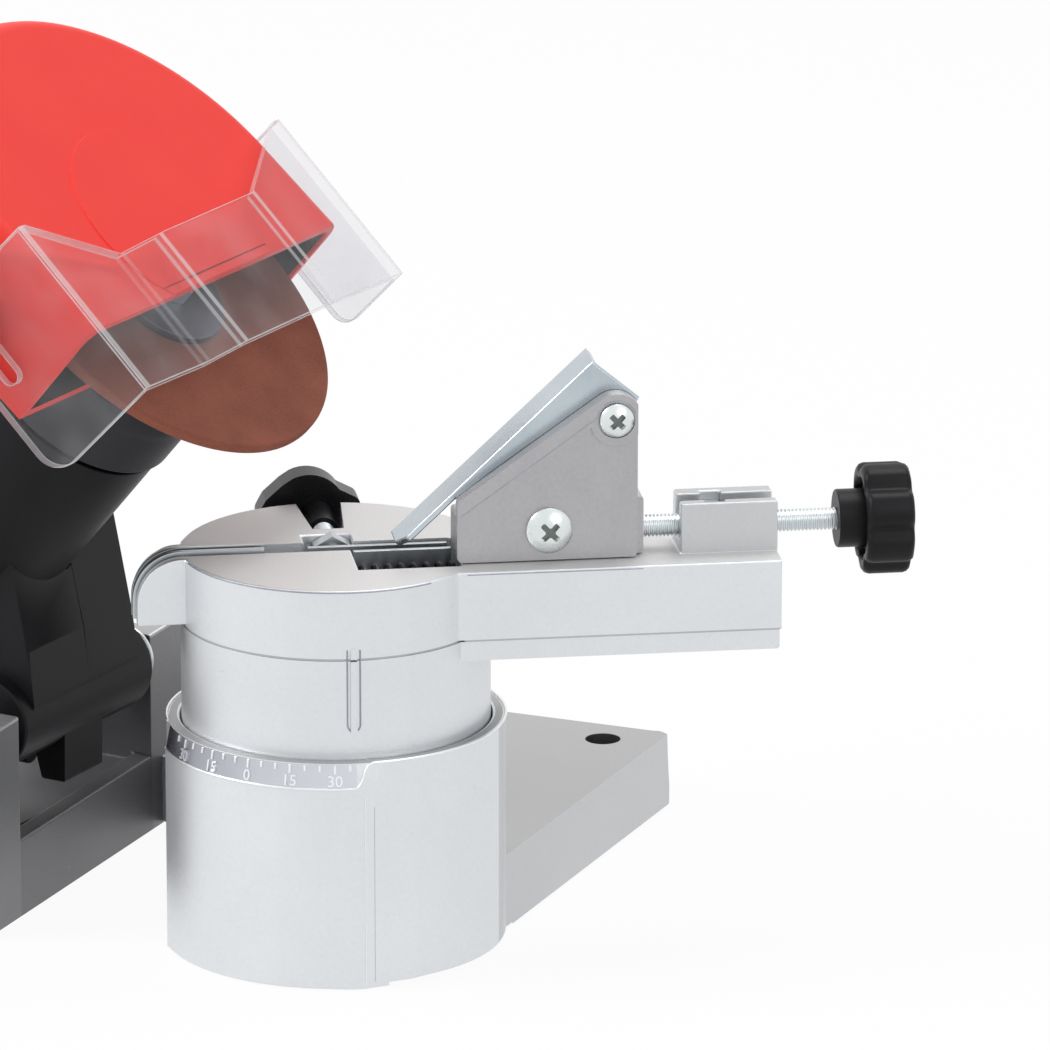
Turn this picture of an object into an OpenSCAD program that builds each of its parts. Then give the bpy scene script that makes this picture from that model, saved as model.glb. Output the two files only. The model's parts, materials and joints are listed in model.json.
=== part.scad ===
// Bench-top electric saw-chain sharpener. Millimetres, +Z up.
// Origin: on the resting plane, under the axis of the turntable. The zero of the angle scale faces -Y,
// and the tilting head stands on the -X side.

/* [Base casting] */
// Outer radius of the cup that carries the turntable
cup_r = 45; // [44:0.5:48]
// Height of the cup's rim
cup_h = 61.9; // [56:0.1:64]
// Radius of the thicker sector that carries the angle scale
scale_r = 46.3; // [45.5:0.1:47.5]
// Height where the slanted scale band starts
scale_h = 55.3; // [50:0.1:58]
// Height of the bench plate's top
plate_h = 19.3; // [16:0.1:20]
// Distance from the turntable axis to the rear corners of the bench plate
plate_rear = 144.2; // [142:0.1:150]
// Spacing of the two bench bolts
bench_bolt_pitch = 124; // [110:1:130]
// Diameter of the bench bolt holes
bench_bolt_d = 9.7; // [8:0.1:11]

/* [Yoke] */
// Height of the yoke's uprights
yoke_h = 56; // [54:1:60]
// Height of the low front wall between the uprights
yoke_sill = 21.5; // [19:0.5:24]
// Angle of the yoke's front wall in plan
yoke_rake = 5.5; // [3:0.5:6]
// Hinge axis, distance behind the turntable axis
hinge_x = 95; // [94:0.5:96]
// Hinge axis, height
hinge_z = 50; // [49:0.5:51]
// Diameter of the hinge pin
hinge_d = 10; // [8:0.5:11]

/* [Turntable] */
// Angle to which the turntable is swivelled
table_turn = 37; // [-37:1:37]
// Radius of the turntable
table_r = 41; // [40.5:0.1:41.2]
// Height of the turntable's top
table_h = 107.7; // [104:0.1:110]
// Length of the arm from the turntable axis
arm_end = 114.8; // [108:0.1:118]
// Depth of the chain slot
slot_deep = 12; // [9:0.5:13]
// Thickness of the chain guide plates
guide_t = 1.5; // [1:0.1:1.8]

/* [Chain stop] */
// Height of the adjusting screw
adjust_z = 113.8; // [113:0.1:114.5]
// Thread diameter of the adjusting, clamp and block screws
screw_d = 6; // [5:0.5:6]
// Angle of the pawl above the table
pawl_angle = 43; // [41:1:45]
// Diameter of the adjusting knob
knob_d = 30; // [24:1:34]

/* [Head] */
// Height of the grinding disc's centre
disc_z = 170.5; // [169:0.5:176]
// Distance of the grinding disc's centre behind the turntable axis
disc_back = 53.5; // [53:0.5:56]
// Angle of the disc's axis above the table
disc_axis = 49.5; // [48:0.5:51]
// Diameter of the grinding disc
disc_d = 108; // [100:1:108]
// Thickness of the grinding disc
disc_t = 3.2; // [2.4:0.1:4.8]
// Bore of the grinding disc
disc_bore = 22.3; // [20:0.1:23]
// Half width between the wheel cover's flat sides
cover_half = 64; // [63:0.5:64]
// Radius of the motor housing
motor_r = 29; // [28:0.5:29]
// Thickness of the guard's sheet
guard_t = 2.4; // [2:0.1:2.6]

/* [Hidden] */
$fn = 64;

e = 0.01;                       // small overlap of cutting shapes
fit = 0.05;                     // radial running clearance
wall = 4;                       // wall of the castings

// Colours
alu = [0.80, 0.81, 0.83];
steel = [0.72, 0.76, 0.78];
black = [0.12, 0.12, 0.13];
red = [0.93, 0.22, 0.20];
abrasive = [0.50, 0.24, 0.18];
clear_plastic = [0.85, 0.90, 0.92, 0.35];
copper = [0.75, 0.42, 0.22];

// ---- Base --------------------------------------------------------------------------------------

cup_floor = 24;                 // underside of the cup's floor
table_foot = 30.2;              // underside of the turntable
plate_foot = 0.6;               // the plate's skirt stands clear of the bench between the pads
plate_right = 25.2;             // right rear corner
plate_left = -135;
bench_bolt_x = 9.5;
bench_bolt_y = 129.3;
yoke_back = 24;                 // height of the yoke's low rear wall
yoke_front_x = -80.6;           // front wall at the left side of the notch
notch = [-29.5, 49.5];          // the gap between the uprights, along Y
yoke_side = [-50, 70];
cheek_t = 8;
upright_t = 6;
stop_z = 33;                    // depth stop screw
stop_y = 9;

// Position of the yoke's front wall at a distance y along the hinge
function yoke_front(y) = yoke_front_x - tan(yoke_rake) * (y - notch[0]);

// Points of an arc
function arc(centre, r, from, to, steps = 12) =
    [for (i = [0 : steps]) let (a = from + (to - from) * i / steps) centre + r * [cos(a), sin(a)]];

module plate_outline(inset = 0) {
    offset(r = 8 - inset) offset(delta = -8)
        polygon([[41.6, -4], [plate_right, plate_rear], [-45, plate_rear - 8], [-70, plate_rear - 8],
                 [plate_left, plate_rear], [plate_left, yoke_side[0]], [yoke_front(0) - 8, yoke_side[0]],
                 [yoke_front(0) - 8, 58], [-40, 26], [-20, -30]]);
}

module yoke_wall(height) {
    linear_extrude(height)
        polygon([for (y = yoke_side) [yoke_front(y), y], for (y = [yoke_side[1], yoke_side[0]])
                 [yoke_front(y) - upright_t, y]]);
}

// One side of the yoke, seen along the hinge
module cheek(y, front) {
    translate([0, y + cheek_t, 0]) rotate([90, 0, 0]) linear_extrude(cheek_t)
        polygon([[front, 1], [front, yoke_h], [-hinge_x - 12, yoke_h], [-hinge_x - 20, yoke_h - 6],
                 [plate_left + 1, yoke_back], [plate_left + 1, 1]]);
}

module bench_plate() {
    difference() {
        translate([0, 0, plate_foot]) linear_extrude(plate_h - plate_foot) plate_outline();
        translate([0, 0, -e]) linear_extrude(plate_h - wall) plate_outline(wall);
        // draft of the right side
        translate([41.2, 0, 0]) rotate([0, 0, 6.33]) rotate([0, -7, 0]) translate([0, -40, -5]) cube([40, 240, 60]);
    }
    // ribs under the plate, and the pads round the bench bolts
    intersection() {
        for (x = [-100, -60, -20])
            translate([x, 42, plate_foot + 1.2]) cube([wall, plate_rear - 40, plate_h - plate_foot - 2.2]);
        linear_extrude(plate_h) plate_outline(2);
    }
    for (x = [bench_bolt_x, bench_bolt_x - bench_bolt_pitch])
        translate([x, bench_bolt_y, 0]) cylinder(r = 10.4, h = plate_h - 1);
}

module yoke() {
    difference() {
        yoke_wall(yoke_h);
        translate([-120, notch[0], yoke_sill]) cube([60, notch[1] - notch[0], yoke_h]);
    }
    cheek(notch[0] - cheek_t, yoke_front(notch[0]) - 3);
    cheek(notch[1], yoke_front(notch[1]) - 3);
    // low rear wall with the boss of the stop screw
    translate([plate_left, yoke_side[0], 0]) cube([wall + 1, yoke_side[1] - yoke_side[0], yoke_back]);
    translate([plate_left, stop_y, stop_z]) rotate([0, 90, 0]) cylinder(r = 9, h = 12);
    translate([plate_left, stop_y - 9, 1]) cube([12, 18, stop_z - 1]);
    for (y = [yoke_side[0], yoke_side[1] - wall])
        translate([plate_left, y, 0]) cube([yoke_front(y + wall) - plate_left - 1, wall, yoke_back - 4]);
}

module cup() {
    cylinder(r = cup_r, h = cup_h, $fn = 128);
    rotate([0, 0, -137]) rotate_extrude(angle = 94, $fn = 128)
        polygon([[cup_r - 2, 0], [scale_r, 0], [scale_r, scale_h], [cup_r, cup_h], [cup_r - 2, cup_h]]);
}

module base_casting() {
    color(alu) difference() {
        union() {
            bench_plate();
            yoke();
            cup();
        }
        // room for the turntable, and for the lock knob under the floor
        translate([0, 0, table_foot - 0.2]) cylinder(r = table_r + 0.4, h = cup_h, $fn = 128);
        translate([0, 0, -1]) cylinder(r = cup_r - wall, h = cup_floor + 1);
        cylinder(d = 10.8, h = cup_h);
        // the back of the cup stands clear of the bench
        rotate([0, 0, -42]) rotate_extrude(angle = 264, $fn = 128)
            translate([cup_r - wall - 1, -1]) square([wall + 3, 1.4 + plate_foot]);
        translate([-hinge_x, notch[0] - cheek_t - 1, hinge_z]) rotate([-90, 0, 0])
            cylinder(d = hinge_d + 0.02, h = notch[1] - notch[0] + 2 * cheek_t + 1);
        for (x = [bench_bolt_x, bench_bolt_x - bench_bolt_pitch])
            translate([x, bench_bolt_y, -e]) cylinder(d = bench_bolt_d, h = plate_h + 1);
        translate([plate_left - 1, stop_y, stop_z]) rotate([0, 90, 0]) cylinder(d = screw_d + 2 * fit, h = 20);
    }
}

// Pressed into the right cheek, and held by a ring at the left one
module hinge_pin() {
    color(steel) translate([-hinge_x, notch[0] - cheek_t - 4, hinge_z]) rotate([-90, 0, 0])
        cylinder(d = hinge_d, h = notch[1] - notch[0] + 2 * cheek_t + 4);
}

module ring(r_in, r_out, h) {
    difference() {
        cylinder(r = r_out, h = h);
        translate([0, 0, -1]) cylinder(r = r_in, h = h + 2);
    }
}

module pin_ring() {
    color(steel) translate([-hinge_x, notch[0] - cheek_t - 1.6, hinge_z]) rotate([-90, 0, 0])
        ring(hinge_d / 2, hinge_d / 2 + 3, 1.4);
}

// A wire of radius wire_r along a helix about Z, as one swept skin
module coil(r, wire_r, turns, height, sides = 6, steps = 14) {
    rings = turns * steps;
    pitch = height / turns;
    pts = [for (i = [0 : rings], k = [0 : sides - 1])
           let (a = 360 * i / steps, b = 360 * k / sides, rr = r + wire_r * cos(b))
           [rr * cos(a), rr * sin(a), pitch * i / steps + wire_r * sin(b)]];
    sides_f = [for (i = [0 : rings - 1], k = [0 : sides - 1]) let (n = (k + 1) % sides)
               [i * sides + k, i * sides + n, (i + 1) * sides + n, (i + 1) * sides + k]];
    polyhedron(pts, concat([[for (k = [sides - 1 : -1 : 0]) k]], sides_f,
                           [[for (k = [0 : sides - 1]) rings * sides + k]]));
}

module head_spring() {
    color(steel) translate([-hinge_x, 42.4, hinge_z]) rotate([-90, 0, 0]) coil(8.2, 0.9, 3, 6);
}

module clamp_washer() {
    color(steel) translate([0, 0, cup_floor - 2]) ring(5.4, 12, 2);
}

module stop_screw() {
    color(steel) translate([-153, stop_y, stop_z]) rotate([0, 90, 0]) cylinder(d = screw_d, h = 49);
}

// Cap at the end of the stop screw; it slides with the screw and doesn't turn
module stop_tip() {
    color(black) translate([-106.3, stop_y, stop_z]) rotate([0, 90, 0]) difference() {
        cylinder(r = 4.2, h = 5);
        translate([0, 0, -1]) cylinder(d = screw_d + 2 * fit, h = 5.4);
    }
}

module stop_locknut() {
    color(steel) translate([plate_left - 5.3, stop_y, stop_z]) rotate([0, 90, 0]) difference() {
        cylinder(r = 5.8, h = 5, $fn = 6);
        translate([0, 0, -1]) cylinder(d = screw_d + 2 * fit, h = 8);
    }
}

// Seven-lobed knob with a hub. The thread side is at z = 0 and the body stands on the hub.
module lobed_knob(d, hub_d, hub_h, body_h, bore, lobes = 7, recess = 0) {
    difference() {
        union() {
            cylinder(d = hub_d, h = hub_h + 2);
            translate([0, 0, hub_h]) difference() {
                cylinder(d = d, h = body_h, $fn = 96);
                if (recess > 0) translate([0, 0, -1]) ring(hub_d / 2 - 0.1, hub_d / 2 + recess, 3);
                for (i = [0 : lobes - 1]) rotate([0, 0, (i + 0.5) * 360 / lobes])
                    translate([d * 0.80, 0, -1]) cylinder(r = d * 0.345, h = body_h + 2);
                // the edge is bevelled at both ends
                translate([0, 0, body_h - 2]) difference() {
                    cylinder(d = d + 2, h = 3);
                    translate([0, 0, -e]) cylinder(r1 = d / 2, r2 = d / 2 - 3, h = 3 + 2 * e);
                }
            }
        }
        translate([0, 0, -1]) cylinder(d = bore, h = hub_h + body_h - 3);
    }
}

module stop_knob() {
    color(black) translate([-148, stop_y, stop_z]) rotate([0, -90, 0])
        lobed_knob(24, 13, 4, 9, screw_d, 6);
}

// Locks the turntable from below
module lock_knob() {
    color(black) translate([0, 0, cup_floor - 2.5]) rotate([180, 0, 0])
        lobed_knob(34, 18, 5, 12, 10 + 2 * fit, 6);
}

// ---- Turntable: its own frame has the chain along X, and the pointer at -Y --------------------------

chain_y = 0;                    // middle of the chain slot
arm_y = [-28.7, 8];             // arm, front and rear faces
arm_low = 83.4;                 // underside of the arm
seam_h = 88.9;                  // parting line of the casting
channel_y = [-16.6, -5.5];      // channel that guides the chain stop
screw_y = -12.5;                // adjusting screw
block_x = [89.3, 115];
block_top = 121.3;
pocket_y = -22;                 // front edge of the recess beside the chain
ear_r = 12.2;
clamp_z = 103;                  // chain clamp screw

module on_table() { rotate([0, 0, table_turn]) children(); }

module slot_box(x, y, deep) {
    translate([x[0], y[0], table_h - deep]) cube([x[1] - x[0], y[1] - y[0], deep + 1]);
}

// Rounded corner at the outer end of the chain's path, seen from the front
module ear_side(r, low, t, to = -30) {
    rotate([90, 0, 0]) translate([0, 0, -t / 2]) linear_extrude(t)
        polygon(concat([[to, low], [-table_r - r, low]],
                       [for (p = arc([-table_r, table_h - ear_r], r, 180, 90, 16)) p],
                       [[to, table_h - ear_r + r]]));
}

module turntable_casting() {
    color(alu) on_table() difference() {
        union() {
            translate([0, 0, table_foot]) cylinder(r = table_r, h = table_h - table_foot, $fn = 128);
            // arm, with the narrower strip below its parting line
            translate([20, arm_y[0], seam_h])
                cube([arm_end - 20, arm_y[1] - arm_y[0], table_h - seam_h]);
            translate([20, arm_y[0] + 0.5, arm_low]) cube([arm_end - 20.4, arm_y[1] - arm_y[0] - 1, 8]);
            // block for the adjusting screw
            translate([block_x[0], -19.3, table_h - 1])
                cube([block_x[1] - block_x[0], 14.8, block_top - table_h + 1]);
            // curved ear at the left end of the slot
            ear_side(ear_r, seam_h + 0.8, 14);
            // pointer
            translate([-0.9, -table_r - 0.8, 69.2]) cube([1.8, 3, 22.6]);
        }
        // parting line round the body
        translate([0, 0, seam_h - 0.25]) ring(table_r - 0.3, table_r + 1, 0.5);
        // hollow underneath
        difference() {
            translate([0, 0, table_foot - 1]) cylinder(r = table_r - wall, h = 58);
            cylinder(r = 12, h = table_h);
        }
        cylinder(d = 10, h = 92);
        translate([45, arm_y[0] + wall, arm_low - 1])
            cube([arm_end - 45 - wall, arm_y[1] - arm_y[0] - 2 * wall, 8.3]);
        // chain slot, recess for the jaws and channel of the chain stop
        translate([-table_r - 20, -3.6, seam_h]) cube([69.9 - 50.8 - 9, 7.4, 20]);
        slot_box([-table_r - 20, 30.5], [-3.6, 3.8], slot_deep);
        slot_box([3.7, 31], [pocket_y, 3.5], slot_deep);
        slot_box([25, 74], channel_y, slot_deep);
        translate([74, (channel_y[0] + channel_y[1]) / 2, table_h - slot_deep])
            cylinder(d = channel_y[1] - channel_y[0], h = slot_deep + 1);
        // seat of the clamp nut, and the notch through which the clamp screw comes
        slot_box([-7.8, 5.2], [-3.6, 11.2], slot_deep);
        translate([0, 0, clamp_z]) rotate([-90, 0, 0]) cylinder(d = screw_d + 0.8, h = 60);
        translate([0, 0, table_h - 9.5]) linear_extrude(20)
            polygon([[-4.2, 16], [4.2, 16], [6.2, 44], [-6.2, 44]]);
        // slot of the screw block, with the seat of its nut
        translate([block_x[0] - 1, screw_y - 3.05, adjust_z - 3.2])
            cube([block_x[1] - block_x[0] + 2, 6.1, 20]);
        translate([96, screw_y - 5.1, adjust_z - 5.1]) cube([5.2, 10.2, 20]);
    }
}

module guide_plates() {
    color(steel) on_table() for (y = [chain_y - 1.7, chain_y + 1.7])
        translate([0, y, 0]) difference() {
            ear_side(13, seam_h + 1.6, guide_t, -19.1);
            // cut away below the rail, where the casting carries it
            translate([-table_r - 10.2, -5, table_h - 50]) cube([50, 10, 50 - slot_deep + 0.4]);
        }
}

module front_jaw() {
    color(steel) on_table() translate([4.2, -5.4, table_h - slot_deep]) difference() {
        cube([26, guide_t, slot_deep - 0.1]);
        for (x = [6, 20]) translate([x, -1, 4]) rotate([-90, 0, 0]) cylinder(d = 3.2, h = 4);
    }
}

module clamp_jaw() {
    color(steel) on_table() translate([-7.2, 0.9, table_h - slot_deep + 0.3]) cube([37, 1.6, slot_deep - 0.8]);
}

module hex_nut(af, h, bore) {
    difference() {
        cylinder(d = af / cos(30), h = h, $fn = 6);
        translate([0, 0, -1]) cylinder(d = bore, h = h + 2);
    }
}

module clamp_nut() {
    color(steel) on_table() translate([0, 5.6, clamp_z]) rotate([-90, 30, 0])
        hex_nut(10, 5, screw_d + 2 * fit);
}

module clamp_screw() {
    color(steel) on_table() translate([0, 2.8, clamp_z]) rotate([-90, 0, 0]) cylinder(d = screw_d, h = 44);
}

// Wing handle, seen along its screw: one long wing and one short one
module wing_outline() {
    offset(r = 2.5) offset(delta = -2.5) union() {
        circle(r = 6.5);
        polygon(concat([[-17, -1.5], [-13.5, 4.5], [-9, 8.5]], arc([-2, 1], 10.2, 115, 35, 10),
                       [[11.8, 4], [12.5, -2], [4, -6], [-4, -6], [-10, -3.5]]));
    }
}

module clamp_handle() {
    color(black) on_table() translate([0, 28, clamp_z]) rotate([-90, 0, 0]) difference() {
        union() {
            cylinder(d = 8.4, h = 20);
            translate([0, 0, 17]) mirror([0, 1, 0]) linear_extrude(9) wing_outline();
        }
        translate([0, 0, -1]) cylinder(d = screw_d, h = 20);
    }
}

module pivot_bolt() {
    color(steel) {
        translate([0, 0, 9]) cylinder(d = 10, h = 75);
    }
}

module block_nut() {
    color(steel) on_table() translate([96.1, screw_y - 5, adjust_z - 5]) difference() {
        cube([5, 10, 10]);
        translate([-1, 5, 5]) rotate([0, 90, 0]) cylinder(d = screw_d + 2 * fit, h = 8);
    }
}

module carrier_spring() {
    color(steel) on_table() translate([5.2, -11.05, 101.4]) rotate([0, 90, 0])
        coil(3.6, 0.6, 8, 27, 5, 12);
}

// ---- Chain stop ------------------------------------------------------------------------------------

carrier_y = -21;                // front face of the carrier
carrier_x = [29.8, 77.5];
pivot_x = 71.8;                 // pawl screw
pivot_z = 145.6;
pivot_r = 7;
carrier_top_left = 124.8;

slant = 37;                     // angle of the carrier's slanted edge
slant_top = [pivot_x - pivot_r * sin(slant), pivot_z + pivot_r * cos(slant)];

module carrier_outline() {
    intersection() {
        offset(r = 1.5) offset(delta = -1.5) union() {
            polygon([[carrier_x[0], table_h + 0.3], [carrier_x[1], table_h + 0.3], [carrier_x[1], pivot_z],
                     slant_top, [carrier_x[0], carrier_top_left]]);
            translate([pivot_x, pivot_z]) circle(r = pivot_r);
        }
        translate([0, 100]) square([carrier_x[1], 60]);
    }
}

// Raised border along the slanted edge and round the pawl screw
module carrier_border() {
    difference() {
        intersection() {
            carrier_outline();
            union() {
                polygon([slant_top, [carrier_x[0], carrier_top_left], [carrier_x[0], carrier_top_left - 5.6],
                         slant_top - [0, 5.6]]);
                translate([pivot_x, pivot_z]) circle(r = pivot_r);
            }
        }
        translate([pivot_x, pivot_z]) circle(r = 4.9);
    }
}

// A plate standing across the arm: its outline is in X and Z, and it runs from y back by t
module standing(y, t) { translate([0, y + t, 0]) rotate([90, 0, 0]) linear_extrude(t) children(); }

module pawl_carrier() {
    color(alu) on_table() difference() {
        union() {
            standing(carrier_y, 4) carrier_outline();
            standing(carrier_y - 0.7, 1) carrier_border();
            // body that slides on the arm, with the boss that the adjusting screw pushes
            standing(carrier_y + 3, 16) offset(r = 1) offset(delta = -1)
                polygon([[carrier_x[0] + 0.6, table_h + 0.3], [carrier_x[1] + 2, table_h + 0.3],
                         [carrier_x[1] + 2, 123.6], [carrier_x[0] + 0.6, 118.6]]);
        }
        // hollow behind the front wall, open at the back and above
        translate([carrier_x[0] + 4, carrier_y + 4, 121]) cube([44, 20, 30]);
        translate([54, carrier_y - 2, 116.3]) rotate([-90, 0, 0]) cylinder(d = screw_d, h = 30);
        translate([pivot_x, carrier_y - 2, pivot_z]) rotate([-90, 0, 0]) cylinder(d = 5, h = 30);
        // seat of the adjusting screw's end
        translate([carrier_x[1] - 1.5, screw_y, adjust_z]) rotate([0, 90, 0]) cylinder(d = screw_d + 2 * fit, h = 6);
    }
}

// Sliding foot in the channel of the arm
module guide_foot() {
    color(steel) on_table() translate([34.6, channel_y[0] + 0.3, table_h - slot_deep + 0.4])
        difference() {
            cube([32, channel_y[1] - channel_y[0] - 0.6, slot_deep - 0.1]);
            translate([-1, 5.25, 5.3]) rotate([0, 90, 0]) cylinder(r = 4.6, h = 8);
        }
}

// Pan head screw along +Y, the underside of its head at y = 0
module pan_screw(d, head_d, head_h, length) {
    rotate([-90, 0, 0]) {
        cylinder(d = d, h = length);
        translate([0, 0, -head_h]) intersection() {
            cylinder(d = head_d, h = head_h);
            translate([0, 0, head_d * 0.72]) sphere(r = head_d * 0.72, $fn = 48);
        }
    }
}

// Cross recess of a screw that looks towards -Y
module cross_recess(size, depth) {
    for (a = [45, 135]) rotate([0, a, 0]) translate([-size / 2, -depth, -0.5]) cube([size, 2 * depth, 1]);
}

module carrier_screw() {
    color(steel) on_table() translate([54, carrier_y, 116.3]) difference() {
        pan_screw(screw_d, 12.3, 3.6, 18);
        translate([0, -3.6, 0]) cross_recess(6, 1.4);
    }
}

module pawl_screw() {
    color(steel) on_table() translate([pivot_x, carrier_y, pivot_z]) difference() {
        pan_screw(5, 9, 3, 17);
        translate([0, -3, 0]) cross_recess(4.8, 1.2);
    }
}

pawl_y = [-16.7, -3];           // front and rear edges of the pawl
pawl_tip = [14.2, 112];
pawl_len = 71;
pawl_t = 1.8;
flange_from = 20;               // the side flange starts this far from the tip
flange_deep = 13;

// Frame with X along the pawl from its tip
module along_pawl() {
    on_table() translate([pawl_tip[0], 0, pawl_tip[1]]) rotate([0, -pawl_angle, 0]) children();
}

module pawl() {
    color(steel) difference() {
        union() {
            // top leg, cut slantwise at the tip
            along_pawl() translate([0, 0, -pawl_t]) linear_extrude(pawl_t)
                polygon([[0, pawl_y[1]], [pawl_len, pawl_y[1]], [pawl_len, pawl_y[0]],
                         [3.5, pawl_y[0]], [0, pawl_y[0] + 4]]);
            // side flange with its eye
            along_pawl() translate([0, pawl_y[0] + pawl_t, 0]) rotate([90, 0, 0]) linear_extrude(pawl_t)
                polygon([[flange_from, -0.5], [pawl_len, -0.5], [pawl_len + 2, -16],
                         [pawl_len - 9, -19], [pawl_len - 17, -flange_deep], [flange_from + 3, -9],
                         [flange_from, -5]]);
        }
        on_table() translate([pivot_x, carrier_y, pivot_z]) rotate([-90, 0, 0]) cylinder(d = 5 + 2 * fit, h = 30);
    }
}

module adjusting_screw() {
    color(steel) on_table() translate([carrier_x[1] - 1.3, screw_y, adjust_z]) rotate([0, 90, 0])
        cylinder(d = screw_d, h = 66);
}

module adjusting_knob() {
    color(black) on_table() translate([131.6, screw_y, adjust_z]) rotate([0, 90, 0])
        lobed_knob(knob_d, 15.5, 6.4, 12.8, screw_d, recess = 3.6);
}

// ---- Head: its own frame has the disc's centre at the origin, X down across the disc, Z out of it --------

module on_head() {
    translate([-disc_back, 0, disc_z]) rotate([0, 90 - disc_axis, 0]) children();
}

motor_from = -40;               // front end of the motor housing
motor_to = -98;
arm_width = [-19, 34];
boss_width = [-24, 41];
parting_y = 9;
boss_r = 13;

// The arm, seen along the hinge
module arm_profile() {
    offset(r = 3) offset(delta = -3) union() {
        translate([-hinge_x, hinge_z]) circle(r = boss_r);
        polygon([[-82.2, 53], [-84.2, 70], [-89.8, 97], [-92, 112], [-112, 104], [-118, 80], [-108, 50]]);
    }
}

module arm_blank(y0, y1, boss0, boss1, tab0, tab1) {
    difference() {
        union() {
            translate([0, y1, 0]) rotate([90, 0, 0]) linear_extrude(y1 - y0) arm_profile();
            translate([-hinge_x, boss0, hinge_z]) rotate([-90, 0, 0]) cylinder(r = boss_r, h = boss1 - boss0);
            translate([0, tab1, 0]) rotate([90, 0, 0]) linear_extrude(tab1 - tab0)
                polygon([[-84.6, 44], [-84.8, 28.4], [-92, 28.4], [-96, 44]]);
        }
        children();
    }
}

module arm_cuts(y0, y1) {
    // hollow of the shell, open at the parting plane
    translate([0, y1, 0]) rotate([90, 0, 0]) linear_extrude(y1 - y0) difference() {
        offset(delta = -3) arm_profile();
        translate([-hinge_x, hinge_z]) circle(r = hinge_d / 2 + 4);
        for (p = arm_screw_at) translate(p) circle(r = 5);
    }
    // seat of the motor housing, and the bore of the pin
    on_head() translate([0, 0, motor_to - 9.1]) cylinder(r = motor_r, h = 90, $fn = 96);
    translate([-hinge_x, -60, hinge_z]) rotate([-90, 0, 0]) cylinder(d = hinge_d + 2 * fit, h = 150);
    // holes of the screw that joins the halves, and of the cable gland
    for (p = arm_screw_at) translate([p[0], -60, p[1]]) rotate([-90, 0, 0]) cylinder(d = 4, h = 68);
    gland_place() translate([0, 0, -6]) cylinder(r = 8, h = 40);
}

module arm_half_left() {
    color(black) arm_blank(arm_width[0], parting_y, boss_width[0], parting_y, -0.6, parting_y)
        arm_cuts(arm_width[0] + 3, parting_y + 1);
}

module arm_half_right() {
    color(black) arm_blank(parting_y, arm_width[1], parting_y, boss_width[1], parting_y, 18.6)
        arm_cuts(parting_y - 1, arm_width[1] - 3);
}

arm_screw_at = [[-98, 70]];

module arm_screw() {
    color(steel) for (p = arm_screw_at)
        translate([p[0], arm_width[0], p[1]]) pan_screw(4, 8, 2.4, 26);
}

// Turned shell about the disc's axis
module turned(points) { on_head() rotate_extrude($fn = 96) polygon(points); }

module motor_flange() {
    color(black) turned([[11, -18.2], [30.4, -18.2], [30.4, -24], [30.1, -27], [30.1, motor_from], [26.5, motor_from],
                         [26.5, -29], [11, -26]]);
}

module motor_housing() {
    color(black) turned([[motor_r - 3, motor_from], [motor_r - 1.2, motor_from], [motor_r - 1.2, motor_from - 1.6],
                         [motor_r, motor_from - 1.6], [motor_r, motor_to], [motor_r - 3, motor_to]]);
}

module end_cap() {
    color(black) difference() {
        turned(concat([[9.6, motor_to], [motor_r, motor_to]],
                      [for (p = arc([motor_r - 9, motor_to], 9, -10, -90, 8)) p],
                      [[0, motor_to - 9], [0, motor_to - 7.2], [9.6, motor_to - 7.2]]));
        on_head() for (i = [0 : 11]) rotate([0, 0, 30 * i])
            translate([13, -1.2, motor_to - 10]) cube([9, 2.4, 20]);
    }
}

module stator() {
    color(steel) on_head() translate([0, 0, -84]) difference() {
        cylinder(r = motor_r - 3, h = 34);
        translate([0, 0, -1]) cylinder(r = 15.6, h = 36);
        for (a = [0, 180]) rotate([0, 0, a + 90]) translate([17, -9, -1]) cube([6, 18, 36]);
    }
}

module bearings() {
    color(steel) on_head() {
        translate([0, 0, -25.8]) ring(4 + fit, 11, 7);
        translate([0, 0, motor_to - 7.1]) ring(4 + fit, 9.6, 7);
    }
}

module brush_holders() {
    color(copper) on_head() for (a = [90, 270]) rotate([0, 0, a])
        translate([10.3, -3, -94]) cube([15.5, 6, 6]);
}

cover_x = -20;                  // centre of the cover's round end
cover_end = 10;                 // its open lower end
cover_front = 17;
cover_back = -18.2;

// Half of the cover's section across the disc, with a rounded front edge
function cover_section(half, back, front, round) =
    concat([[0, back], [half, back]], arc([half - round, front - round], round, 0, 90, 6), [[0, front]]);

// Round at the top, straight at the sides, flat at the lower end
module wheel_cover_form(half, back, front, round, end) {
    section = cover_section(half, back, front, round);
    translate([cover_x, 0, 0]) {
        rotate([0, 0, 90]) rotate_extrude(angle = 180, $fn = 128) polygon(section);
        rotate([90, 0, 90]) linear_extrude(end - cover_x) {
            polygon(section);
            mirror([1, 0, 0]) polygon(section);
        }
    }
}

module wheel_cover() {
    color(red) on_head() difference() {
        union() {
            wheel_cover_form(cover_half, cover_back, cover_front, 6, cover_end);
            // shallow round boss on the front
            intersection() {
                translate([-10.5, 1, 0]) cylinder(r = 31.3, h = cover_front + 0.35, $fn = 128);
                translate([-60, -60, 0]) cube([60 + cover_end - 0.3, 120, 40]);
            }
        }
        wheel_cover_form(cover_half - 3, cover_back + 3, cover_front - 3, 4, cover_end + 5);
        // opening for the spindle, and the hole of the guard screw
        translate([0, 0, -30]) cylinder(r = 13, h = 20);
        guard_turn() translate([guard_screw_x, -cover_half - 6, guard_screw_z]) rotate([-90, 0, 0])
            cylinder(d = 4, h = 12);
    }
}

// Black saddle on top of the cover, which carries the handle and the switch
saddle_x = -99;
switch_at = [-91.6, -12, 10];   // middle of the switch, on the saddle's front

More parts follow.
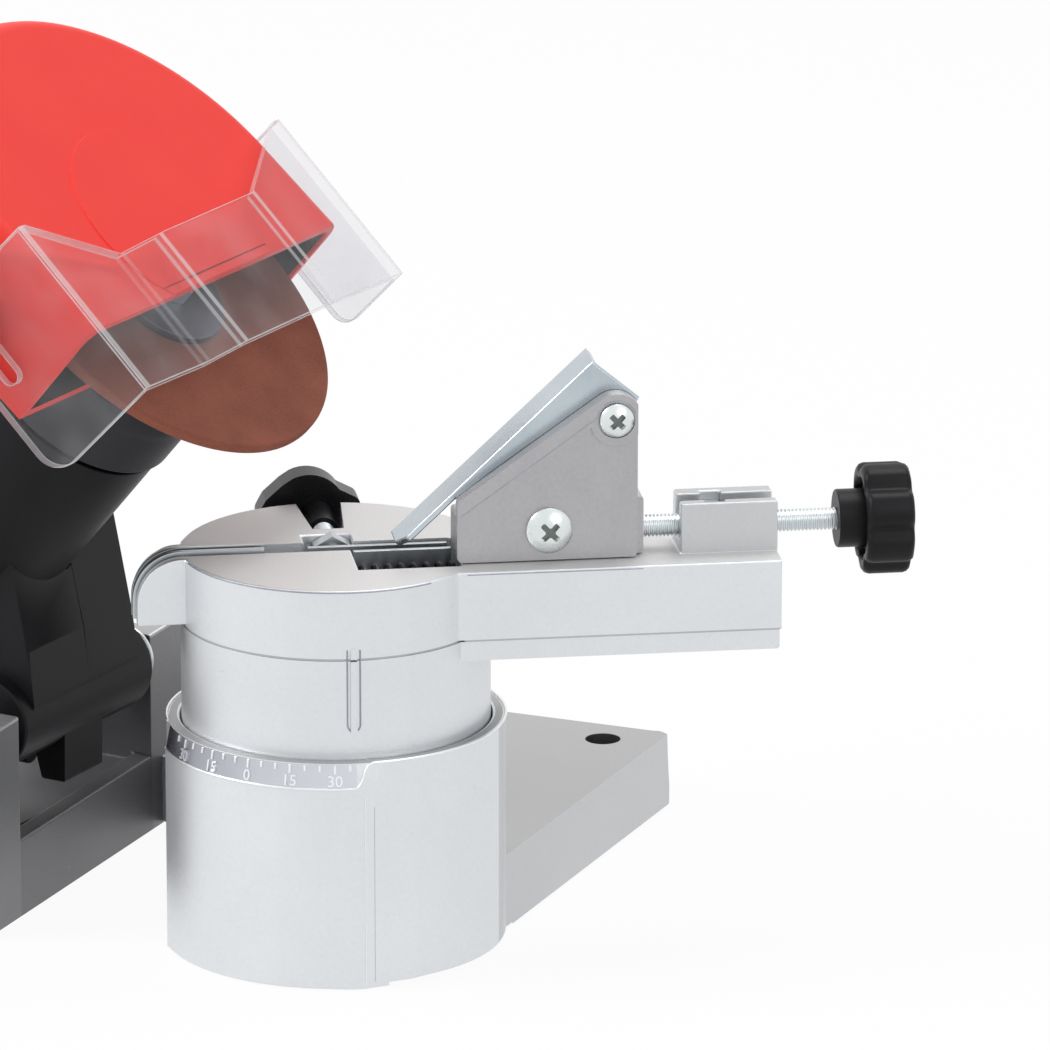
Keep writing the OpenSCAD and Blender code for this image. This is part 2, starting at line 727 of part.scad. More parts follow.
module handle_saddle() {
    color(black) on_head() difference() {
        union() {
            translate([saddle_x, -46, -16]) cube([34, 60, 26]);
            translate([-84, -46, -3]) rotate([90, 0, 0]) cylinder(r = 11, h = 6);
        }
        translate([cover_x, 0, -30]) cylinder(r = cover_half, h = 60, $fn = 128);
        translate([cover_x, -cover_half, -30]) cube([20, 2 * cover_half, 60]);
        // corner taken off at the end
        translate([saddle_x, 14, -20]) rotate([0, 0, 45]) cube([14, 14, 80], center = true);
        // seat of the switch
        translate(switch_at + [-6.1, -10.1, -9]) cube([12.2, 20.2, 20]);
    }
}

module handle() {
    color(black) on_head() translate([-84, -52, -3]) rotate([90, 0, 0]) difference() {
        rotate_extrude($fn = 64)
            polygon([[0, 0], [14, 0], [14, 4], [11, 7], [12.5, 22], [13.2, 44], [12.6, 66], [13.5, 84], [15, 88],
                     [14, 92], [9, 94.5], [0, 95]]);
        for (i = [0 : 7]) translate([0, 0, 14 + 8 * i]) ring(12.4 + 0.6 * sin(22 * i), 20, 2.2);
    }
}

module switch_frame() {
    color(black) on_head() translate(switch_at) difference() {
        union() {
            translate([-6, -10, -9]) cube([12, 20, 9.5]);
            translate([-6.8, -10.8, 0]) cube([13.6, 21.6, 1.2]);
        }
        translate([-4.6, -8.2, -5]) cube([9.2, 16.4, 8]);
    }
}

module switch_rocker() {
    color(red) on_head() translate(switch_at) rotate([90, 0, 90]) linear_extrude(8.6, center = true)
        polygon([[-7.7, -1.6], [-7.7, 3], [0, 1.8], [7.7, 3], [7.7, -1.6]]);
}

module gland_place() { translate([-113, -9, 60]) rotate([0, -75, 0]) children(); }

module cable_gland() {
    color(black) gland_place() rotate_extrude()
        polygon([[3.6, -5], [8, -5], [8, 3], [6.5, 4], [5, 22], [3.6, 22]]);
}

// ---- Guard: tilted a little against the disc --------------------------------------------------------

guard_tilt = 4;
guard_low = 31.5;               // lower edge
guard_mid = -5.5;               // upper edge of the low middle part
guard_high = -22.5;               // upper edge of the tall ends
guard_half = 65.5;
guard_screw_x = -12;            // guard screw
guard_screw_z = -10;

// The sheet's middle line across the guard: distance along the hinge, and height in front of the disc
guard_line = [[-65.5, -19], [-65.5, 20.2], [-34, 18.6], [-17.5, 21.1], [29.5, 21.5], [65.5, 18.8], [65.5, -5]];

module guard_turn() { translate([12, 0, 20]) rotate([0, guard_tilt, 0]) translate([-12, 0, -20]) children(); }

module on_guard() { on_head() guard_turn() children(); }

function unit(v) = v / norm(v);
function side(p, q) = let (d = unit(q - p)) [-d[1], d[0]];

// Corner i of a line moved sideways by h, with a mitre
function mitre(line, i, h) =
    let (last = len(line) - 1,
         before = side(line[max(i - 1, 0)], line[max(i, 1)]),
         after = side(line[min(i, last - 1)], line[min(i + 1, last)]),
         n = unit(before + after))
    line[i] + n * h / (n * after);

module sheet_section(t) {
    last = len(guard_line) - 1;
    polygon(concat([for (i = [0 : last]) mitre(guard_line, i, t / 2)],
                   [for (i = [last : -1 : 0]) mitre(guard_line, i, -t / 2)]));
}

module guard() {
    color(clear_plastic) on_guard() difference() {
        intersection() {
            // bent sheet, running down across the disc
            translate([-30, 0, 0]) rotate([90, 0, 90]) linear_extrude(80) sheet_section(guard_t);
            // outline from the front: tall ends and a low middle
            translate([0, 0, -30]) linear_extrude(60)
                polygon([[guard_low, -70], [guard_high, -70], [guard_high, -63.5], [guard_mid, -34.5],
                         [guard_mid, 29.5], [guard_high, 63.5], [guard_high, 70], [guard_low, 70]]);
            // outline from the side: rounded lower corners
            translate([0, 75, 0]) rotate([90, 0, 0]) linear_extrude(150)
                offset(r = 8) offset(delta = -8)
                polygon([[guard_high - 20, -19], [guard_low, -19], [guard_low, 50], [guard_high - 20, 50]]);
        }
        // adjusting slot in the left side
        for (x = [guard_screw_x - 3, 3.5]) translate([x, -60, guard_screw_z]) rotate([90, 0, 0])
            cylinder(d = 4.6, h = 12);
        translate([guard_screw_x - 3, -72, guard_screw_z - 2.3]) cube([6.5 - guard_screw_x, 12, 4.6]);
        // lower corner of the short right side
        translate([guard_low - 5, 60, -12]) rotate([-90, 0, 0]) difference() {
            translate([0, -12, 0]) cube([8, 12, 10]);
            translate([0, -12, -1]) cylinder(r = 5, h = 12);
        }
    }
}

module guard_screw() {
    color(black) on_guard() translate([guard_screw_x, -guard_half - guard_t / 2 - 0.3, guard_screw_z]) {
        rotate([-90, 0, 0]) translate([0, 0, -4.4]) cylinder(d = 4, h = 12.4);
        rotate([90, 0, 0]) lobed_knob(14, 9, 1.5, 6, 4, 5);
    }
}

// ---- Spindle ----------------------------------------------------------------------------------------

flange_r = 19;

module spindle() {
    color(steel) on_head() translate([0, 0, motor_to - 7]) cylinder(r = 4, h = 115);
}

module armature() {
    color(steel) on_head() translate([0, 0, -82]) difference() {
        cylinder(r = 14.8, h = 30);
        for (i = [0 : 11]) rotate([0, 0, 30 * i]) translate([11, -1, -1]) cube([5, 2, 32]);
        translate([0, 0, -1]) cylinder(r = 4, h = 32);
    }
}

module commutator() {
    color(copper) on_head() translate([0, 0, -96]) ring(4, 10, 10);
}

module fan() {
    color(black) on_head() translate([0, 0, -46]) {
        ring(4, 24, 1.6);
        ring(4, 8, 8);
        for (i = [0 : 8]) rotate([0, 0, 40 * i]) translate([7.5, -0.8, 1]) cube([16, 1.6, 7]);
    }
}

module inner_flange() {
    color(steel) on_head() {
        translate([0, 0, -disc_t - 3]) ring(4, flange_r, 3);
        translate([0, 0, -disc_t - e]) ring(4, disc_bore / 2 - fit, disc_t - 0.4);
        translate([0, 0, -14]) ring(4, 9, 14 - disc_t - 2.9);
    }
}

module grinding_disc() {
    color(abrasive) on_head() translate([0, 0, -disc_t]) difference() {
        cylinder(d = disc_d, h = disc_t, $fn = 128);
        translate([0, 0, -1]) cylinder(d = disc_bore, h = disc_t + 2);
    }
}

module outer_flange() {
    color(steel) on_head() difference() {
        cylinder(r = flange_r, h = 2.4);
        translate([0, 0, -1]) cylinder(r = 4, h = 5);
        translate([0, 0, -e]) cylinder(r = 10, h = 0.4);
    }
}

module spindle_nut() {
    color(steel) on_head() translate([0, 0, 2.4]) hex_nut(13, 5, 8);
}

base_casting();
hinge_pin();
pin_ring();
head_spring();
clamp_washer();
stop_locknut();
stop_tip();
stop_screw();
stop_knob();
lock_knob();
turntable_casting();
guide_plates();
front_jaw();
clamp_nut();
pivot_bolt();
carrier_spring();
block_nut();
clamp_jaw();
clamp_screw();
clamp_handle();
pawl_carrier();
guide_foot();
carrier_screw();
pawl_screw();
pawl();
adjusting_screw();
adjusting_knob();
arm_half_left();
arm_half_right();
arm_screw();
motor_flange();
motor_housing();
end_cap();
stator();
bearings();
brush_holders();
wheel_cover();
handle_saddle();
handle();
switch_frame();
switch_rocker();
cable_gland();
guard_screw();
guard();
spindle();
armature();
commutator();
fan();
inner_flange();
grinding_disc();
outer_flange();
spindle_nut();
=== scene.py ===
import json
import math

import bmesh
import bpy
from mathutils import Matrix, Vector
from mathutils.bvhtree import BVHTree
from mathutils.geometry import intersect_point_line


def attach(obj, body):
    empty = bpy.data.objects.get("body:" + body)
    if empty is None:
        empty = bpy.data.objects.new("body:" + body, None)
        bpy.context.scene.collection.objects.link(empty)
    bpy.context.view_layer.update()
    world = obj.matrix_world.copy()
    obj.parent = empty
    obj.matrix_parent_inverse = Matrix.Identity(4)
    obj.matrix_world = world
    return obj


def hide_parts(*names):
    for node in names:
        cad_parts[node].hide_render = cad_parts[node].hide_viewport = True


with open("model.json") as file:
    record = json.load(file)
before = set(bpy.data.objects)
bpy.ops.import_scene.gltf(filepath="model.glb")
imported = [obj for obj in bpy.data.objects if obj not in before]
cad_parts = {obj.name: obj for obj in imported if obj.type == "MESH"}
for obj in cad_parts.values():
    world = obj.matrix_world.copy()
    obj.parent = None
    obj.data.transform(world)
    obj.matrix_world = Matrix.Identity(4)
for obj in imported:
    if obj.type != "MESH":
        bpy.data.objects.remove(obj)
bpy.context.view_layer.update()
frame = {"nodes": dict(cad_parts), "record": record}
node = frame["nodes"]
bodies = frame["record"]["behaviour"]["bodies"]
body_of = {name: body for body, names in bodies.items() for name in names}
mm = 0.001

# ---- Camera --------------------------------------------------------------------------------------
# Stands in front of the turntable, a little to the right and above, with a long lens.
camera = bpy.data.objects.new("camera", bpy.data.cameras.new("camera"))
bpy.context.collection.objects.link(camera)
camera.location = (1.2438, -2.1115, 0.8469)
aim = Vector((0.0355, 0.0390, 0.1085))
camera.rotation_euler = (aim - camera.location).to_track_quat("-Z", "Y").to_euler()
camera.data.lens = 332.7
camera.data.sensor_width = 36
camera.data.clip_end = 20
bpy.context.scene.camera = camera

# ---- Room ----------------------------------------------------------------------------------------
# A pale floor under a wide, even sky, with one broad lamp at the left, a weak one at the right and
# one above.


class Socket:
    """A socket of a shader tree that takes part in sums, so that 1 - mask builds its nodes."""

    def __init__(self, tree, out=None):
        self.tree, self.out = tree, out

    def node(self, kind, inputs=None, out=0, stops=None, **settings):
        made = self.tree.nodes.new(kind)
        for key, value in settings.items():
            setattr(made, key, value)
        if stops:
            ramp = made.color_ramp
            while len(ramp.elements) < len(stops):
                ramp.elements.new(0.5)
            for element, (place, shade) in zip(ramp.elements, stops):
                element.position, element.color = place, (shade, shade, shade, 1)
        for key, value in (inputs or {}).items():
            if isinstance(value, Socket):
                self.tree.links.new(value.out, made.inputs[key])
            else:
                made.inputs[key].default_value = value
        return Socket(self.tree, made.outputs[out]) if made.outputs else made

    def maths(self, operation, a, b=0.0):
        return self.node("ShaderNodeMath", {0: a, 1: b}, operation=operation)

    def __add__(self, other):
        return self.maths("ADD", self, other)

    def __sub__(self, other):
        return self.maths("SUBTRACT", self, other)

    def __rsub__(self, other):
        return self.maths("SUBTRACT", other, self)

    def __mul__(self, other):
        return self.maths("MULTIPLY", self, other)

    __radd__, __rmul__ = __add__, __mul__

    def steps(self, *stops):
        """The value read off a ramp, given as places and shades."""
        return self.node("ShaderNodeValToRGB", {0: self}, stops=stops)

    def blend(self, low, high):
        """A colour between low and high, which are colours or sockets."""
        low, high = ((*c, 1) if isinstance(c, tuple) else c for c in (low, high))
        return self.node("ShaderNodeMix", {0: self, 6: low, 7: high}, out=2, data_type="RGBA")

    def axis(self, name):
        """One coordinate of this place or direction."""
        return self.node("ShaderNodeSeparateXYZ", {0: self}, out=name)

    def noise(self, scale, detail=2.0, rough=0.5):
        """Cloudy noise over this place."""
        settings = {"Vector": self, "Scale": scale, "Detail": detail, "Roughness": rough}
        return self.node("ShaderNodeTexNoise", settings)


def new_tree(name, world=False):
    """An empty material, or world, and the socket that its nodes are made from."""
    data = bpy.data.worlds.new(name) if world else bpy.data.materials.new(name)
    data.use_nodes = True
    data.node_tree.nodes.clear()
    return data, Socket(data.node_tree)


def seen_directly(tree):
    """1 where a camera, glossy or transmission ray arrives, else 0."""
    rays = tree.node("ShaderNodeLightPath").out.node
    camera_ray, glossy, through = (
        Socket(tree.tree, rays.outputs[kind])
        for kind in ("Is Camera Ray", "Is Glossy Ray", "Is Transmission Ray")
    )
    return tree.maths("MAXIMUM", camera_ray, tree.maths("MAXIMUM", glossy, through))


sky, tree = new_tree("sky", world=True)
strength = seen_directly(tree) * 0.64 + 0.38
background = tree.node("ShaderNodeBackground", {"Color": (1, 1, 1, 1), "Strength": strength})
tree.node("ShaderNodeOutputWorld", {"Surface": background})
bpy.context.scene.world = sky

bpy.ops.object.select_all(action="DESELECT")
bpy.ops.mesh.primitive_plane_add(size=12, location=(0, 0, -0.0004))
floor = bpy.context.object
floor.name = "floor"
floor_look, tree = new_tree("floor")
lit = tree.node("ShaderNodeBsdfDiffuse", {"Color": (0.9, 0.9, 0.9, 1)})
glow = tree.node("ShaderNodeEmission", {"Color": (1, 1, 1, 1), "Strength": 1.0})
shown = tree.node("ShaderNodeMixShader", {0: seen_directly(tree) * 0.93, 1: lit, 2: glow})
tree.node("ShaderNodeOutputMaterial", {"Surface": shown})
floor.data.materials.append(floor_look)


def lamp(name, place, size, watts):
    """A round soft lamp that looks at the object."""
    light = bpy.data.objects.new(name, bpy.data.lights.new(name, "AREA"))
    bpy.context.collection.objects.link(light)
    light.location = place
    light.rotation_euler = (Vector((0, 0, 0.08)) - light.location).to_track_quat("-Z", "Y").to_euler()
    light.data.shape = "DISK"
    light.data.size = size
    light.data.energy = watts


lamp("left_lamp", (-1.5, -1.1, 1.5), 1.1, 31)
lamp("right_lamp", (1.6, -0.6, 1.1), 0.9, 5)
lamp("top_lamp", (0.1, 0.6, 1.9), 1.2, 14)

# ---- Base casting --------------------------------------------------------------------------------
# Die-cast aluminium, blasted and left bare: the cup of the turntable, the yoke of the hinge and the
# bench plate in one piece. Its edges are rounded as the die leaves them; its flat tops have a duller
# gloss and a painted shade in their colour.


def alone(*objects):
    """Only these objects are selected, and the first is active."""
    if bpy.context.mode != "OBJECT":
        bpy.ops.object.mode_set(mode="OBJECT")
    bpy.ops.object.select_all(action="DESELECT")
    for o in objects:
        o.select_set(True)
    bpy.context.view_layer.objects.active = objects[0]


def merged(name):
    """A copy of a part with its doubles merged and its flat faces in one piece each."""
    made = bpy.data.objects.new(name + "_form", node[name].data.copy())
    bpy.context.collection.objects.link(made)
    alone(made)
    made.data.materials.clear()
    bpy.ops.object.mode_set(mode="EDIT")
    bpy.ops.mesh.select_all(action="SELECT")
    bpy.ops.mesh.customdata_custom_splitnormals_clear()
    bpy.ops.mesh.remove_doubles(threshold=2e-6)
    bpy.ops.mesh.dissolve_limited(angle_limit=math.radians(0.4))
    bpy.ops.object.mode_set(mode="OBJECT")
    return made


def apply_all(made):
    """Its modifiers become part of its mesh."""
    alone(made)
    for modifier in list(made.modifiers):
        bpy.ops.object.modifier_apply(modifier=modifier.name)


def smoothed(made, angle=35):
    """Shaded smooth over soft corners, with its flat faces kept flat."""
    alone(made)
    bpy.ops.object.shade_smooth_by_angle(angle=math.radians(angle))
    flat = made.modifiers.new("flat", "WEIGHTED_NORMAL")
    flat.keep_sharp = True
    apply_all(made)


def folded(mesh):
    """Middles of the faces that are turned over, and of the edges where a face doubles back."""
    too_small, doubled_back = 2e-9, math.radians(140)       # square metres, and an edge's angle
    form = bmesh.new()
    form.from_mesh(mesh)
    form.normal_update()
    spots = []
    for loops in form.calc_loop_triangles():
        a, b, c = (loop.vert.co for loop in loops)
        across = (b - a).cross(c - a)
        if across.length > 2 * too_small and across.normalized().dot(loops[0].face.normal) < 0.5:
            spots.append((a + b + c) / 3)
    for edge in form.edges:
        if len(edge.link_faces) == 2 and min(f.calc_area() for f in edge.link_faces) > too_small:
            if edge.calc_face_angle(0) > doubled_back:
                spots.append((edge.verts[0].co + edge.verts[1].co) / 2)
    form.free()
    return spots


def gap(spot, ends):
    """Distance from a spot to an edge."""
    nearest, along_edge = intersect_point_line(spot, *ends)
    if along_edge < 0:
        nearest = ends[0]
    elif along_edge > 1:
        nearest = ends[1]
    return (nearest - spot).length


def edge_rounded(made, width, segments=2, corner=28):
    """Every corner sharper than the angle is rounded to this width, in millimetres, or to less where
    the faces beside it are narrow. Where the rounding folds over itself, the edges near the fold are
    rounded less, and in the last try not at all."""
    form = bmesh.new()
    form.from_mesh(made.data)
    share, ends = [], []
    for edge in form.edges:
        sharp = len(edge.link_faces) == 2 and edge.calc_face_angle() > math.radians(corner)
        area = min((face.calc_area() for face in edge.link_faces), default=0)
        room = area / max(edge.calc_length(), 1e-9)
        share.append(min(1.0, 0.38 * room / (width * mm)) if sharp else 0.0)
        ends.append((edge.verts[0].co.copy(), edge.verts[1].co.copy()))
    form.free()
    plain = made.data
    known = folded(plain)
    for tries in range(4):
        made.data = plain.copy()
        weights = made.data.attributes.new("bevel_weight_edge", "FLOAT", "EDGE")
        weights.data.foreach_set("value", share)
        rim = made.modifiers.new("rim", "BEVEL")
        rim.width = width * mm
        rim.segments = segments
        rim.limit_method = "WEIGHT"
        rim.use_clamp_overlap = False
        apply_all(made)
        made.data.attributes.remove(made.data.attributes["bevel_weight_edge"])
        spots = [p for p in folded(made.data) if all((p - q).length > 0.3 * mm for q in known)]
        if not spots:
            break
        near = (1.3 + tries) * width * mm
        for i, edge in enumerate(ends):
            if share[i] and any(gap(spot, edge) < near for spot in spots):
                share[i] *= 0.0 if tries == 2 else 0.3


def stands_for(made, name, look):
    """The finished piece takes the part's body, place and finish."""
    made.data.materials.clear()
    made.data.materials.append(look)
    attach(made, body_of[name])
    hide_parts(name)


def rounded(name, look, width, segments=2, corner=28):
    """The part with rounded edges, in this finish."""
    made = merged(name)
    edge_rounded(made, width, segments, corner)
    smoothed(made)
    stands_for(made, name, look)
    return made


def bumped(tree, height, strength, distance):
    """A normal that follows the height of a fine grain."""
    settings = {"Height": height, "Strength": strength, "Distance": distance}
    return tree.node("ShaderNodeBump", settings)


def object_place(tree):
    """A spot's place in the object's own frame, in metres."""
    return tree.node("ShaderNodeTexCoord", out="Object")


def finished(tree, base, roughness, metallic, normal, **constants):
    """Closes a material with a principled surface."""
    inputs = {"Base Color": base, "Roughness": roughness, "Metallic": metallic, "Normal": normal}
    surface = tree.node("ShaderNodeBsdfPrincipled", {**inputs, **constants})
    tree.node("ShaderNodeOutputMaterial", {"Surface": surface})


def cast_finish(name, dark, light, top, painted_shade=None):
    """Blasted casting: fine grain, faint clouds and small pits, with painted light in the colour of
    level faces, which also get a duller gloss. Some faces can be given a painted shade."""
    pit_colour, painted_shade_colour = (0.32, 0.32, 0.33), (0.115, 0.112, 0.118)
    look, tree = new_tree(name)
    place = object_place(tree)
    cloud = place.noise(34, 4, 0.55)
    grain = place.noise(2100, 2)
    pits = place.noise(520, 2).steps((0.68, 0), (0.80, 1))
    facing = tree.node("ShaderNodeNewGeometry", out="True Normal")
    # Painted light: level faces take the top colour by their facing, and a duller gloss.
    level = facing.axis("Z").steps((0.93, 0), (0.99, 1))
    body = level.blend((cloud * 0.6 + place.noise(900, 2) * 0.4).blend(dark, light), top)
    # Painted shade: the faces the mask picks are darkened towards a near-black colour.
    if painted_shade:
        body = painted_shade(tree, place, facing).blend(body, painted_shade_colour)
    colour = (pits * 0.12).blend(body, pit_colour)
    gloss = cloud * 0.12 + level * 0.12 + 0.34
    normal = bumped(tree, grain * 0.6 - pits * 0.5 + cloud * 0.3, 0.45, 0.00025)
    finished(tree, colour, gloss, 0.82, normal)
    return look


def yoke_painted_shade(tree, place, normal):
    """Painted shade: the yoke's front wall, the inside of its notch and the bolt holes are painted dark
    where shade falls, and the plate's right side a little."""
    yoke_front, plate_from = -58 * mm, 10 * mm          # x of the yoke's end, y of the plate's start
    notch_x, notch_y = (-130.5 * mm, -80.5 * mm), (-30 * mm, 50 * mm)
    bolts_middle, bolts_reach, bolts_y, bolt_radius = -52.5 * mm, 62 * mm, 129.3 * mm, 4.95 * mm

    def within(value, limits):
        return tree.maths("GREATER_THAN", value, limits[0]) * tree.maths("LESS_THAN", value, limits[1])

    x, y = place.axis("X"), place.axis("Y")
    ahead = normal.axis("X").steps((0.85, 0), (0.95, 1))
    yoke = tree.maths("LESS_THAN", x, yoke_front)
    plate = tree.maths("GREATER_THAN", y, plate_from) * (1 - yoke)
    notch = within(x, notch_x) * within(y, notch_y)
    off_x, off_y = tree.maths("ABSOLUTE", x - bolts_middle) - bolts_reach, y - bolts_y
    holes = tree.maths("LESS_THAN", off_x * off_x + off_y * off_y, bolt_radius**2)
    hollow_shade = tree.maths("MAXIMUM", notch, holes)
    return tree.maths("MAXIMUM", ahead * (yoke * 0.88 + plate * 0.30), hollow_shade * 0.94)


base_metal = cast_finish(
    "base_metal", (0.69, 0.71, 0.735), (0.83, 0.85, 0.87), (0.43, 0.43, 0.43), yoke_painted_shade
)
casting = merged("base_casting")
# The sector that carries the scale ends in a soft slope instead of a square step. It stands out from
# the cup's plain radius, and the slope is given in degrees.
cup_radius, sector_radius = 45, 46.4
step_turns, slope_start, slope_span = (-51, -42.9), -45.5, 4
for vertex in casting.data.vertices:
    radius = math.hypot(vertex.co.x, vertex.co.y) / mm
    turn = math.degrees(math.atan2(vertex.co.y, vertex.co.x))
    if cup_radius + 0.02 < radius < sector_radius and step_turns[0] < turn < step_turns[1]:
        rise = min(1.0, max(0.03, (slope_start - turn) / slope_span))
        wanted = cup_radius + (radius - cup_radius) * rise
        vertex.co.x *= wanted / radius
        vertex.co.y *= wanted / radius
edge_rounded(casting, 0.8)
smoothed(casting)
stands_for(casting, "base_casting", base_metal)

# ---- Angle scale ---------------------------------------------------------------------------------
# Ticks every 5 degrees and plain numbers, cast proud on the slanted band round the cup's rim. They are
# modelled flat, in millimetres, and then laid round the band.
band_low, band_high = (46.3, 55.3), (45.0, 61.9)    # radius and height of the band's two edges
band_up = Vector((band_high[0] - band_low[0], band_high[1] - band_low[1])).normalized()


def laid_on_band(made, angle):
    """x runs round the cup from the angle, y up the band and z out of it."""
    for vertex in made.data.vertices:
        x, y, z = vertex.co / mm
        turn = math.radians(angle) + x / band_low[0]
        radius = band_low[0] + y * band_up.x + z * band_up.y
        height = band_low[1] + y * band_up.y - z * band_up.x
        vertex.co = Vector((radius * math.cos(turn), radius * math.sin(turn), height)) * mm


def band_and_line_metal(name, dark, light, rough, spread, metallic, grain, painted_reflection_left=False):
    """The casting's metal on the band, its marks and its thin lines. The band can be darker to its left
    as a painted reflection; dark and bright lines stand for painted shade and painted highlight.
    """
    look, tree = new_tree(name)
    place = object_place(tree)
    cloud = place.noise(300, 3)
    tone = cloud
    if painted_reflection_left:
        # Painted reflection: the band darkens towards its left end.
        tone = (place.axis("X") * 15 + 0.5).steps((0.02, 0), (0.55, 0.75), (1, 1))
        tone = tone * 0.9 + cloud * 0.1
    normal = bumped(tree, cloud, grain, 0.0002)
    finished(tree, tone.blend(dark, light), cloud * spread + rough, metallic, normal)
    return look


# The band's metal, with a painted reflection that darkens it towards the left.
band_metal = band_and_line_metal(
    "band_metal", (0.22, 0.22, 0.26), (0.70, 0.72, 0.77), 0.20, 0.10, 0.95, 0.15, painted_reflection_left=True
)
# Dark metal for thin lines that are painted shade.
painted_shade_metal = band_and_line_metal(
    "painted_shade_metal", (0.26, 0.27, 0.32), (0.42, 0.43, 0.49), 0.30, 0.20, 0.85, 0.20
)
# Light metal for the scale's marks, and for bright lines that are painted highlights.
mark_and_highlight_metal = band_and_line_metal(
    "mark_and_highlight_metal", (0.80, 0.82, 0.84), (0.94, 0.95, 0.96), 0.25, 0.10, 0.90, 0.10
)

# The band's own skin: its section, up the band and out of it, runs round the cup from its left end.
band_from, band_length, band_steps = -37.2, 67.2, 72
section = ((0.1, -0.2), (6.55, -0.2), (6.55, 0.07), (0.1, 0.07))
points = [
    (x * mm, y * mm, z * mm)
    for x in (band_from + band_length * i / band_steps for i in range(band_steps + 1))
    for y, z in section
]
last = 4 * band_steps
faces = [(0, 1, 2, 3), (last + 3, last + 2, last + 1, last)]
for first in range(0, last, 4):
    for k, n in ((0, 1), (1, 2), (2, 3), (3, 0)):
        faces.append((first + k, first + 4 + k, first + 4 + n, first + n))
sheet = bpy.data.meshes.new("scale_band")
sheet.from_pydata(points, [], faces)
scale_band = bpy.data.objects.new("scale_band", sheet)
bpy.context.collection.objects.link(scale_band)
alone(scale_band)
bpy.ops.object.mode_set(mode="EDIT")
bpy.ops.mesh.select_all(action="SELECT")
bpy.ops.mesh.normals_make_consistent(inside=False)
bpy.ops.object.mode_set(mode="OBJECT")
laid_on_band(scale_band, -90)
sheet.materials.append(band_metal)
smoothed(scale_band)
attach(scale_band, "base")

marks = []
tick_top, tick_width, letter_height = 6.3, 0.6, 4.1
for angle in range(-125, -54, 5):
    low = 4.0 if angle % 15 == 0 else 4.7
    alone(floor)
    bpy.ops.mesh.primitive_cube_add(size=mm)
    tick = bpy.context.object
    middle = Matrix.Translation((0, (low + tick_top) / 2 * mm, 0.2 * mm))
    tick.data.transform(middle @ Matrix.Diagonal((tick_width, tick_top - low, tick_width, 1)))
    edge_rounded(tick, 0.12)
    laid_on_band(tick, angle)
    marks.append(tick)
for angle, words in ((-120, "30"), (-105, "15"), (-90, "0"), (-75, "15"), (-60, "30")):
    alone(floor)
    bpy.ops.object.text_add()
    number = bpy.context.object
    number.data.body = words
    number.data.size = letter_height * mm
    number.data.align_x = "CENTER"
    number.data.extrude = 0.32 * mm
    number.data.offset = 0.03 * mm
    number.data.resolution_u = 4
    number.location = (0, 0.75 * mm, 0.15 * mm)
    bpy.ops.object.convert(target="MESH")
    bpy.ops.object.transform_apply()
    laid_on_band(number, angle)
    marks.append(number)
alone(*marks)
bpy.ops.object.join()
scale_marks = bpy.context.object
scale_marks.name = "scale_marks"
scale_marks.data.materials.clear()
scale_marks.data.materials.append(mark_and_highlight_metal)
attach(scale_marks, "base")


def bead(name, points, radius, look, body):
    """A thin raised line through points given in millimetres."""
    curve = bpy.data.curves.new(name, "CURVE")
    curve.dimensions = "3D"
    curve.bevel_depth = radius * mm
    curve.bevel_resolution = 2
    curve.use_fill_caps = True
    line = curve.splines.new("POLY")
    line.points.add(len(points) - 1)
    for point, at in zip(line.points, points):
        point.co = (*(Vector(at) * mm), 1)
    made = bpy.data.objects.new(name, curve)
    bpy.context.collection.objects.link(made)
    alone(made)
    bpy.ops.object.convert(target="MESH")
    made.data.materials.clear()
    made.data.materials.append(look)
    smoothed(made, 60)
    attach(made, body)


def round_cup(radius, angle, height):
    """The point at this radius, angle in degrees and height of the cup."""
    return radius * math.cos(math.radians(angle)), radius * math.sin(math.radians(angle)), height


def on_band(angle, share):
    """A point on the band: 0 is its lower edge and 1 the rim."""
    radius, height = (low + (high - low) * share for low, high in zip(band_low, band_high))
    return round_cup(radius, angle, height)


# One bright bead, a painted highlight, follows the band's lower edge, climbs to the rim where the
# band ends, and goes on round it.
climb = (
    (-54, 0), (-53, 0.03), (-52.1, 0.1), (-51.3, 0.25),
    (-50.6, 0.48), (-49.8, 0.74), (-48.8, 0.92), (-47, 1),
)
edge_line = [on_band(angle, 0) for angle in range(-137, -54, 2)]
edge_line += [on_band(angle, share) for angle, share in climb]
edge_line += [on_band(angle, 1) for angle in range(-45, 222, 3)]
bead("scale_highlight_bead", edge_line, 0.36, mark_and_highlight_metal, "base")
# The soft upright edges where the sector ends: a bright line as painted highlight, and a dark line
# at its foot as painted shade.
for name, angle, radius, top, look in (
    ("sector_edge", -50.2, 46.26, 53, mark_and_highlight_metal), ("sector_foot", -47, 45.36, 49.8, painted_shade_metal),
):
    bead(name, [round_cup(radius, angle, height) for height in (top, 30, 1.6)], 0.14, look, "base")

# ---- Turntable -----------------------------------------------------------------------------------
# Its own casting, with the arm and the screw block, a little smoother than the base.
table_turn = 37                                         # degrees from the scale's zero
table = Matrix.Rotation(math.radians(table_turn), 4, "Z")


def table_seam_and_painted_shade(tree, place, normal):
    """A thin dark line at the parting line, and painted shade on the screw block at the arm's far end.
    """
    seam_height, seam_reach, block_start, block_floor = 88.9 * mm, 0.32 * mm, 89.5 * mm, 107.8 * mm
    x, y, z = (place.axis(name) for name in "XYZ")
    seam = tree.node("ShaderNodeMath", {0: z, 1: seam_height, 2: seam_reach}, operation="COMPARE")
    out = x * math.cos(math.radians(table_turn)) + y * math.sin(math.radians(table_turn))
    # Painted shade on the screw block.
    block = tree.maths("GREATER_THAN", out, block_start) * tree.maths("GREATER_THAN", z, block_floor)
    return tree.maths("MAXIMUM", seam * 0.42, block * 0.26)


